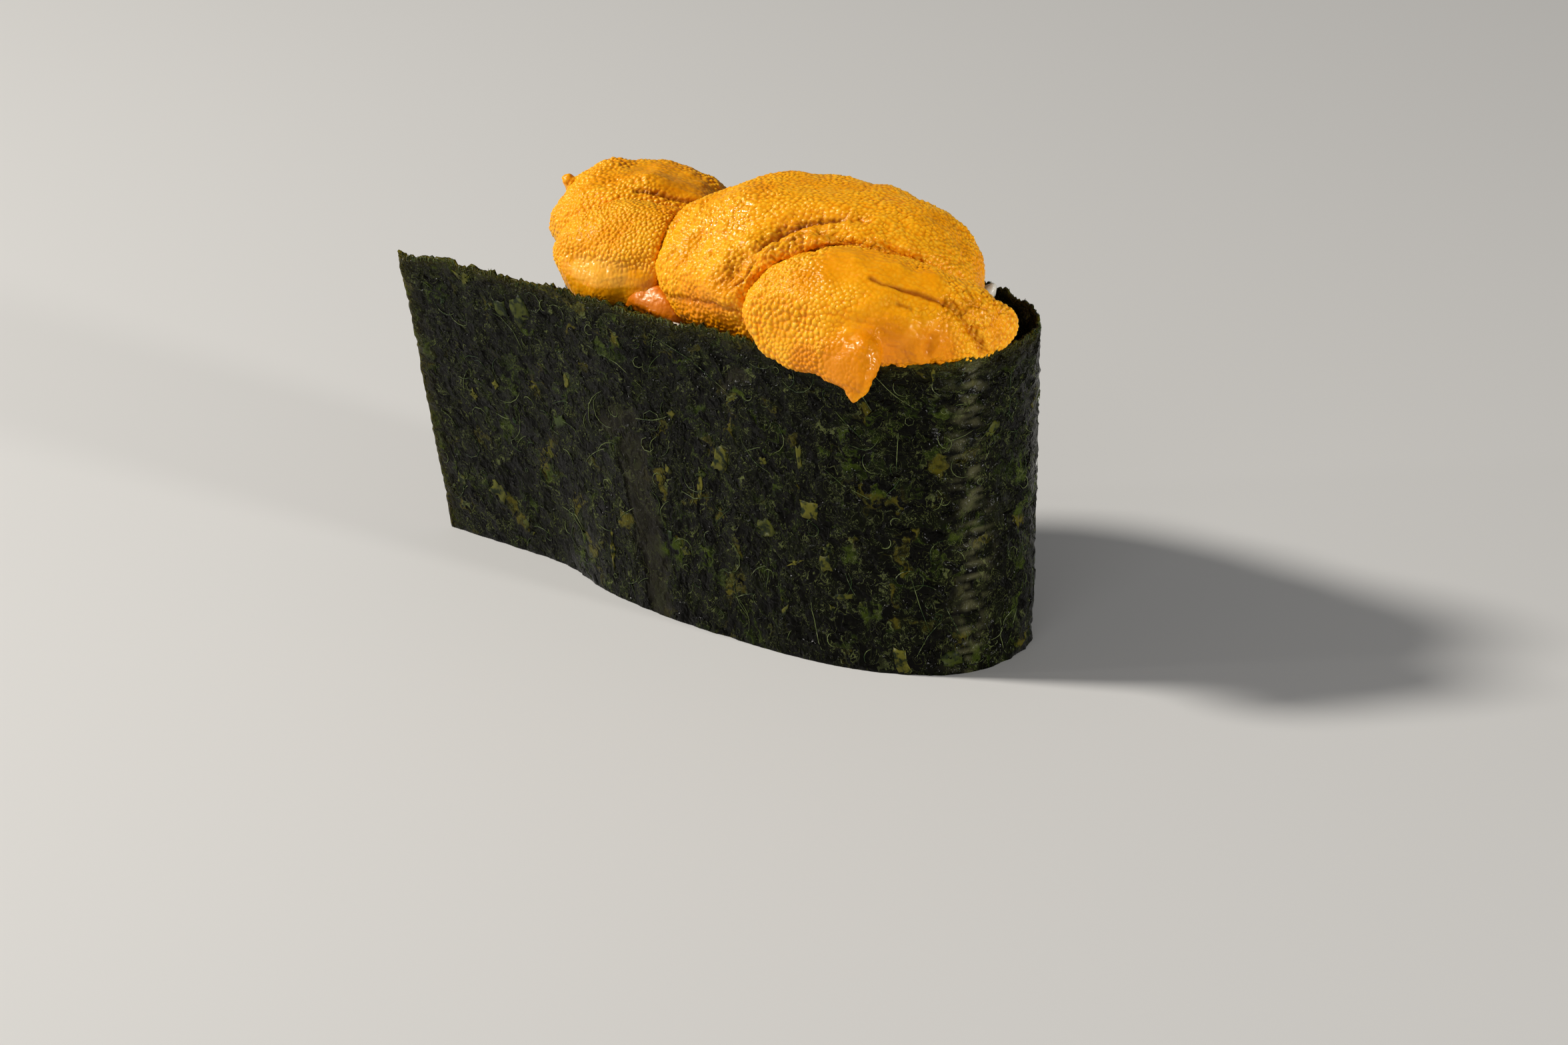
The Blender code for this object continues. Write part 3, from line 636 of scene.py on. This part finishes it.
# Leaf scraps that stand out on the strip: x on the front, height, width, length, turn in degrees, how yellow
noriFlakes = {
    "placed": [(7.6, 18.8, 1.9, 2.3, 12, 0.75), (5.0, 15.4, 0.7, 3.6, 4, 1.0), (13.1, 19.9, 1.1, 1.2, 30, 0.7), (17.3, 21.1, 0.5, 2.4, -6, 0.7),
               (-17.8, 28.8, 2.4, 3.0, 8, 0.35), (-7.6, 5.2, 0.9, 5.6, 3, 0.95), (27.1, 1.4, 1.3, 2.2, -14, 0.85), (30.6, 1.6, 2.4, 2.0, 20, 0.25),
               (2.7, 8.0, 1.4, 1.7, 20, 0.55), (18.3, 15.7, 1.7, 1.6, 0, 0.9), (13.2, 12.8, 2.3, 2.0, 40, 0.45), (16.5, 9.9, 0.5, 2.2, 62, 0.95),
               (21.8, 7.4, 0.5, 2.0, 80, 0.6), (-12.8, 21.9, 1.0, 1.7, 0, 0.8), (-22.9, 19.1, 0.8, 1.6, 10, 0.8), (-25.1, 6.3, 2.2, 2.0, 30, 0.6),
               (-30.2, 6.4, 1.5, 1.6, 0, 0.5), (-24.6, 31.0, 3.2, 1.8, 10, 0.6), (1.5, 22.4, 0.7, 0.8, 45, 0.9), (15.1, 4.5, 0.6, 1.5, 30, 0.7),
               (20.5, 5.9, 0.6, 1.1, -30, 0.6), (-14.3, 17.2, 1.8, 1.3, -20, 0.15), (29.6, 31.2, 0.4, 1.5, 0, 0.9)],
    "more": 34, "size": (0.5, 1.7), "lift": 0.04, "thickness": 0.05, "seed": 14,
}


def flakeMesh():
    shape, rng = noriFlakes, random.Random(noriFlakes["seed"])
    places = [(float(frontAlong(x)), z, wide, high, turn, tone) for x, z, wide, high, turn, tone in shape["placed"]]
    for i in range(shape["more"]):
        size = rng.uniform(*shape["size"])
        places.append((rng.uniform(24, noriLength - 2), rng.uniform(1.5, noriShape["width"] - 1.2), size * rng.uniform(0.35, 1.0), size,
                       rng.uniform(-60, 60), rng.random() ** 1.6))
    bm = bmesh.new()
    spread, tones = [], []
    for number, (along, up, wide, high, turn, tone) in enumerate(places):
        made = bmesh.ops.create_grid(bm, x_segments=4, y_segments=4, size=0.5)
        c, s = math.cos(math.radians(turn)), math.sin(math.radians(turn))
        for vert in made["verts"]:
            ragged = 1 + 0.55 * noise.noise(Vector((vert.co.x * 3, vert.co.y * 3, number * 3.7)))
            corner = 1 - 0.9 * abs(vert.co.x * vert.co.y) * 4 * (number % 3) / 2
            x, y = vert.co.x * wide * ragged * corner, vert.co.y * high * ragged * corner
            spread.append((along + x * c - y * s, up + x * s + y * c))
            tones.append(tone)
    bmesh.ops.reverse_faces(bm, faces=bm.faces)
    mesh = bpy.data.meshes.new("flakes")
    bm.to_mesh(mesh)
    bm.free()
    spread = np.array(spread)
    points, out, sheet = noriSkinAt(spread[:, 0], spread[:, 1] / noriShape["width"])
    setPoints(mesh, (points + out * shape["lift"]) * mm)
    setAttribute(mesh, "tone", tones)
    return boxed(finished(mesh, [{"kind": "SOLIDIFY", "thickness": shape["thickness"] * mm, "offset": -1.0}]))


# Thin threads of leaf on the strip, and the fuzz along its rim
noriThreads = {
    "count": 420, "length": (1.2, 6.0), "thick": 0.04, "curl": 0.55, "fuzz": 520, "fuzzLength": (0.25, 0.75), "seed": 8,
    "long": [[(-0.5, 30.4), (4.4, 28.5), (9.5, 25.8)], [(20.0, 20.3), (22.0, 18.9), (24.4, 18.0)], [(27.9, 10.2), (28.6, 7.0), (29.4, 4.0)],
             [(29.9, 5.6), (29.1, 4.1), (28.3, 2.0)], [(2.6, 14.5), (4.2, 13.9), (6.6, 14.6)], [(-9.0, 27.0), (-5.0, 26.2), (-2.0, 24.2)]],
}


def threadMesh():
    shape, rng = noriThreads, random.Random(noriThreads["seed"])
    runs = [[(float(frontAlong(x)), z) for x, z in run] for run in shape["long"]]
    for i in range(shape["count"]):
        a, u = rng.uniform(23, noriLength - 1), rng.uniform(0.8, noriShape["width"] - 1.0)
        length, heading, curl = rng.uniform(*shape["length"]) * rng.uniform(0.4, 1.0), rng.uniform(0, math.tau), rng.gauss(0, shape["curl"])
        run = []
        for step in range(7):
            run.append((a, u))
            a, u = a + math.cos(heading) * length / 6, u + math.sin(heading) * length / 6
            heading += curl
        if all(0.2 < u < noriShape["width"] - 0.2 and a < noriLength - 0.2 for a, u in run):
            runs.append(run)
    for i in range(shape["fuzz"]):
        a, length = rng.uniform(1, noriLength - 0.5), rng.uniform(*shape["fuzzLength"])
        lean = rng.uniform(-0.6, 0.6)
        runs.append([(a, noriShape["width"] - 0.5), (a + 0.3 * lean * length, noriShape["width"] - 0.1), (a + lean * length, noriShape["width"] - 0.5 + length)])
    line = bpy.data.curves.new("threads", "CURVE")
    line.dimensions, line.bevel_depth, line.bevel_resolution, line.use_fill_caps = "3D", shape["thick"] * mm, 0, True
    flat = np.array([place for run in runs for place in run])
    points, out, sheet = noriSkinAt(flat[:, 0], flat[:, 1] / noriShape["width"])
    points = (points + out * 0.02) * mm
    at = 0
    for run in runs:
        spline = line.splines.new("POLY")
        spline.points.add(len(run) - 1)
        for k, point in enumerate(spline.points):
            point.co = (*points[at + k], 1.0)
            point.radius = 1.0 - 0.55 * abs(2 * k / (len(run) - 1) - 1)
        at += len(run)
    holder = bpy.data.objects.new("holder", line)
    bpy.context.scene.collection.objects.link(holder)
    made = bpy.data.meshes.new_from_object(holder.evaluated_get(bpy.context.evaluated_depsgraph_get()))
    bpy.data.objects.remove(holder)
    return boxed(made)


def scrapPaint(w):
    place = w.node("ShaderNodeTexCoord", take=3)
    mottle = w.noise(place, 1500.0, 3.0)
    color = w.mix(w.attribute("tone"), (0.010, 0.026, 0.004), (0.105, 0.095, 0.009))
    color = w.mix(mottle.between(0.42, 0.62), color, (0.006, 0.010, 0.002))
    bump = w.node("ShaderNodeBump", {}, {"Strength": 0.6, "Distance": 0.00008, "Height": mottle})
    return {"Base Color": color, "Roughness": 0.26 + 0.4 * mottle, "Normal": bump}


def threadPaint(w):
    place = w.node("ShaderNodeTexCoord", take=3)
    patch, mottle = w.noise(place, 260.0, 2.0), w.noise(place, 2500.0, 2.0)
    color = w.mix(patch.between(0.42, 0.62), (0.012, 0.030, 0.005), (0.120, 0.150, 0.045))
    # pale flecks along the threads: painted glints
    color = w.mix(mottle.between(0.5, 0.8), color, (0.24, 0.26, 0.13))
    return {"Base Color": color, "Roughness": 0.24 + 0.35 * mottle}


scrapSkin = newMaterial("scrapSkin", scrapPaint, **{"IOR": 1.42, "Specular IOR Level": 0.15})
threadSkin = newMaterial("threadSkin", threadPaint, **{"IOR": 1.42, "Specular IOR Level": 0.25})
noriFlakeMesh, noriThreadMesh = flakeMesh(), threadMesh()
newObject("nori_flakes", noriFlakeMesh, [scrapSkin], [])
newObject("nori_threads", noriThreadMesh, [threadSkin], [])
print("nori scraps", len(noriFlakeMesh.polygons), "threads", len(noriThreadMesh.polygons), "faces")


riceShape = {
    "length": 5.6, "width": 2.7, "thick": 2.3, "spacing": 3.1, "coreInset": 1.9, "clear": 1.15, "seed": 21,
    # loose grains by the rim: place, heading and tilt in degrees, size
    "extra": [((20.2, 11.6, 31.3), 15, -52, 0.85), ((0.6, -11.9, 30.2), 10, -10, 0.55), ((10.8, -12.2, 30.5), 20, -10, 0.6)],
}


def riceGrain():
    # one cooked grain, long along X, a little bent and blunter at one end
    bm = bmesh.new()
    bmesh.ops.create_uvsphere(bm, u_segments=8, v_segments=7, radius=1.0, matrix=Matrix.Rotation(math.pi / 2, 4, "Y"))
    for vert in bm.verts:
        x, y, z = vert.co
        full = 1 - 0.10 * x - 0.08 * abs(x) ** 3
        vert.co = (x * riceShape["length"] / 2, y * full * riceShape["width"] / 2 + 0.25 * x * x, z * full * riceShape["thick"] / 2)
    mesh = bpy.data.meshes.new("grain")
    bm.to_mesh(mesh)
    bm.free()
    return mesh


def insideLoop(points):
    # draws points in until they are clear of the strip
    shape = noriShape
    flat = points - np.array(loopCentre) / mm
    lean = shape["flare"] * np.clip(flat[:, 2] / shape["width"], 0, 1)
    length = np.where(flat[:, 0] > 0, shape["right"], shape["left"] + lean) - riceShape["clear"]
    width = shape["halfWidth"] + lean - riceShape["clear"]
    over = (np.abs(flat[:, 0]) / length) ** shape["squareness"] + (np.abs(flat[:, 1]) / width) ** shape["squareness"]
    drawn = points.copy()
    drawn[:, :2] = flat[:, :2] * (np.maximum(over, 1) ** (-1 / shape["squareness"]))[:, None] + np.array(loopCentre)[:2] / mm
    return drawn


def spaced(points, reach, rng):
    # numbers of points picked in a random order, none nearer to another than the reach
    chosen, cells = [], {}
    for i in rng.permutation(len(points)).tolist():
        p = points[i]
        key = tuple(np.floor(p / reach).astype(int))
        close = (q for a in (-1, 0, 1) for b in (-1, 0, 1) for c in (-1, 0, 1) for q in cells.get((key[0] + a, key[1] + b, key[2] + c), ()))
        if all(np.linalg.norm(p - q) > reach for q in close):
            cells.setdefault(key, []).append(p)
            chosen.append(i)
    return chosen


def ricePieces():
    rough, area = mergedCopy("rice")
    skin = finished(rough, [{"kind": "REMESH", "mode": "VOXEL", "voxel_size": 0.7 * mm}, {"kind": "SMOOTH", "factor": 0.5, "iterations": 4}])
    bpy.data.meshes.remove(rough)
    points, out = pointsOf(skin) / mm, normalsOf(skin)
    rng = random.Random(riceShape["seed"])
    grain, heap, tones = riceGrain(), bmesh.new(), []

    def add(place, turn, size):
        before = len(heap.verts)
        heap.from_mesh(grain)
        heap.verts.ensure_lookup_table()
        for vert in heap.verts[before:]:
            vert.co = place + turn @ (vert.co * size)
        tones.extend([rng.random()] * (len(heap.verts) - before))

    for i in spaced(points, riceShape["spacing"], np.random.default_rng(riceShape["seed"])):
        normal = Vector(out[i])
        aside = normal.orthogonal().normalized()
        aside.rotate(Matrix.Rotation(rng.uniform(0, math.tau), 3, normal))
        turn = Matrix((aside, normal.cross(aside), normal)).transposed() @ Euler((rng.uniform(-0.5, 0.5), rng.uniform(-0.28, 0.28), 0)).to_matrix()
        add(Vector(points[i]) - normal * (riceShape["thick"] / 2 + rng.uniform(0.0, 0.5)), turn, rng.uniform(0.88, 1.1))
    for place, heading, tilt, size in riceShape["extra"]:
        add(Vector(place), Euler((0.3, math.radians(tilt), math.radians(heading))).to_matrix(), size)
    grains = bpy.data.meshes.new("grains")
    heap.to_mesh(grains)
    heap.free()
    placed = insideLoop(pointsOf(grains))
    placed[:, 2] = np.maximum(placed[:, 2], 0.02)
    setPoints(grains, placed * mm)
    setAttribute(grains, "tone", tones)
    inset = insideLoop(points - out * riceShape["coreInset"])
    inset[:, 2] = np.maximum(inset[:, 2], 0.6)
    setPoints(skin, inset * mm)
    return grains, skin


def ricePaint(w):
    place = w.node("ShaderNodeTexCoord", take=3)
    cloud = w.noise(place, 700.0, 3.0)
    color = w.mix((0.6 * w.attribute("tone") + 0.5 * (cloud - 0.3)).clamp(), (0.66, 0.62, 0.52), (0.84, 0.82, 0.75))
    bump = w.node("ShaderNodeBump", {}, {"Strength": 0.3, "Distance": 0.00008, "Height": w.noise(place, 1800.0, 3.0)})
    return {"Base Color": color, "Roughness": 0.28 + 0.25 * cloud, "Normal": bump}


riceSkin = newMaterial("riceSkin", ricePaint, **{"IOR": 1.38, "Subsurface Weight": 0.5, "Subsurface Radius": (1.0, 0.9, 0.7),
                                                 "Subsurface Scale": 0.0010, "Coat Weight": 0.2, "Coat Roughness": 0.2})
riceGrains, riceCore = ricePieces()
newObject("rice_grains", riceGrains, [riceSkin], ["rice"])
newObject("rice_core", riceCore, [riceSkin], [])
print("rice", len(riceGrains.polygons), "faces")


def floorPaint(w):
    place = w.node("ShaderNodeTexCoord", take=3)
    return {"Base Color": w.mix(w.noise(place, 3.0), (0.62, 0.61, 0.59), (0.66, 0.65, 0.63))}


bm = bmesh.new()
bmesh.ops.create_grid(bm, x_segments=1, y_segments=1, size=4.0)
floorMesh = bpy.data.meshes.new("floor")
bm.to_mesh(floorMesh)
bm.free()
floor = bpy.data.objects.new("floor", floorMesh)
floorMesh.materials.append(newMaterial("floorPaint", floorPaint, Roughness=0.6))
bpy.context.scene.collection.objects.link(floor)

lights = {
    "key": {"at": (-0.46, -0.34, 0.50), "size": 0.12, "power": 6.3, "color": (1.0, 0.97, 0.92)},
    "low": {"at": (-0.44, -0.52, 0.08), "size": 0.04, "power": 0.7, "color": (1.0, 0.98, 0.95)},
    "side": {"at": (0.64, 0.03, 0.11), "size": 0.07, "power": 2.6, "color": (1.0, 0.98, 0.95)},
    "fill": {"at": (0.35, -0.75, 0.45), "size": 0.5, "power": 0.9, "color": (0.97, 0.98, 1.0)},
}
aim = Vector((0.0, 0.0, 0.025))
for name, light in lights.items():
    lamp = bpy.data.lights.new(name, "AREA")
    lamp.shape, lamp.size, lamp.energy, lamp.color = "DISK", light["size"], light["power"], light["color"]
    holder = bpy.data.objects.new(name, lamp)
    holder.location = light["at"]
    holder.rotation_euler = (aim - holder.location).to_track_quat("-Z", "Y").to_euler()
    bpy.context.scene.collection.objects.link(holder)
sky = bpy.data.worlds.new("sky")
sky.use_nodes = True
sky.node_tree.nodes["Background"].inputs["Color"].default_value = (0.86, 0.88, 0.92, 1.0)
sky.node_tree.nodes["Background"].inputs["Strength"].default_value = 0.13
bpy.context.scene.world = sky
bpy.context.scene.view_settings.view_transform = "Standard"

cameraSet = {"from": (0.41850, -0.48470, 0.25370), "heading": (-0.656, 0.755), "down": 21.0, "lens": 159.95}
lensData = bpy.data.cameras.new("camera")
lensData.lens, lensData.sensor_width = cameraSet["lens"], 36.0
lensData.clip_start, lensData.clip_end = 0.01, 50.0
camera = bpy.data.objects.new("camera", lensData)
camera.location = Vector(cameraSet["from"]) + loopCentre
level = Vector((*cameraSet["heading"], 0.0)).normalized() * math.cos(math.radians(cameraSet["down"]))
camera.rotation_euler = (level - Vector((0, 0, math.sin(math.radians(cameraSet["down"]))))).to_track_quat("-Z", "Y").to_euler()
bpy.context.scene.collection.objects.link(camera)
bpy.context.scene.camera = camera
print("studio set")
